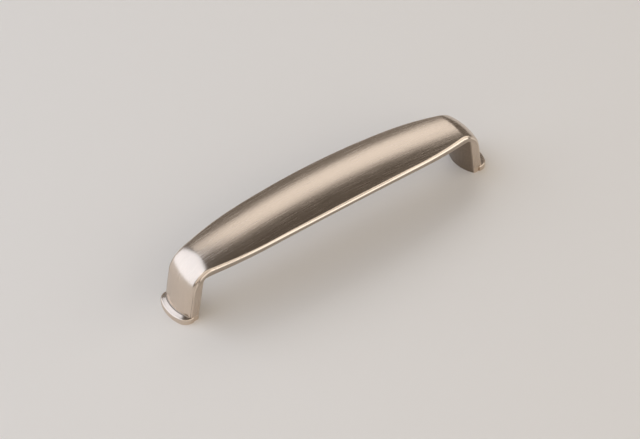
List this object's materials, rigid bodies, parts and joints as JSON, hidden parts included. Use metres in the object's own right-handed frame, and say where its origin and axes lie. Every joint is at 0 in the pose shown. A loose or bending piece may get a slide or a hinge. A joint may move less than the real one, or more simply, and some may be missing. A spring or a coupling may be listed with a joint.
{
  "type": "bow handle",
  "caption": "Bowed cabinet or drawer pull: a lens-shaped domed bar on inward-leaning legs, with crescent flanges round the feet and blind screw holes underneath.",
  "frame": {"origin": "on the mounting surface, midway between the feet", "axes": "+X along the bar from foot to foot, +Y across the bar, +Z away from the mounting surface"},
  "size_m": [0.1424, 0.0246, 0.0274],
  "materials": {
    "satin_nickel": "satin nickel plating, brushed along the bar, over a zinc casting"
  },
  "bodies": {
    "root": {"handle": "satin_nickel"}
  },
  "joints": []
}
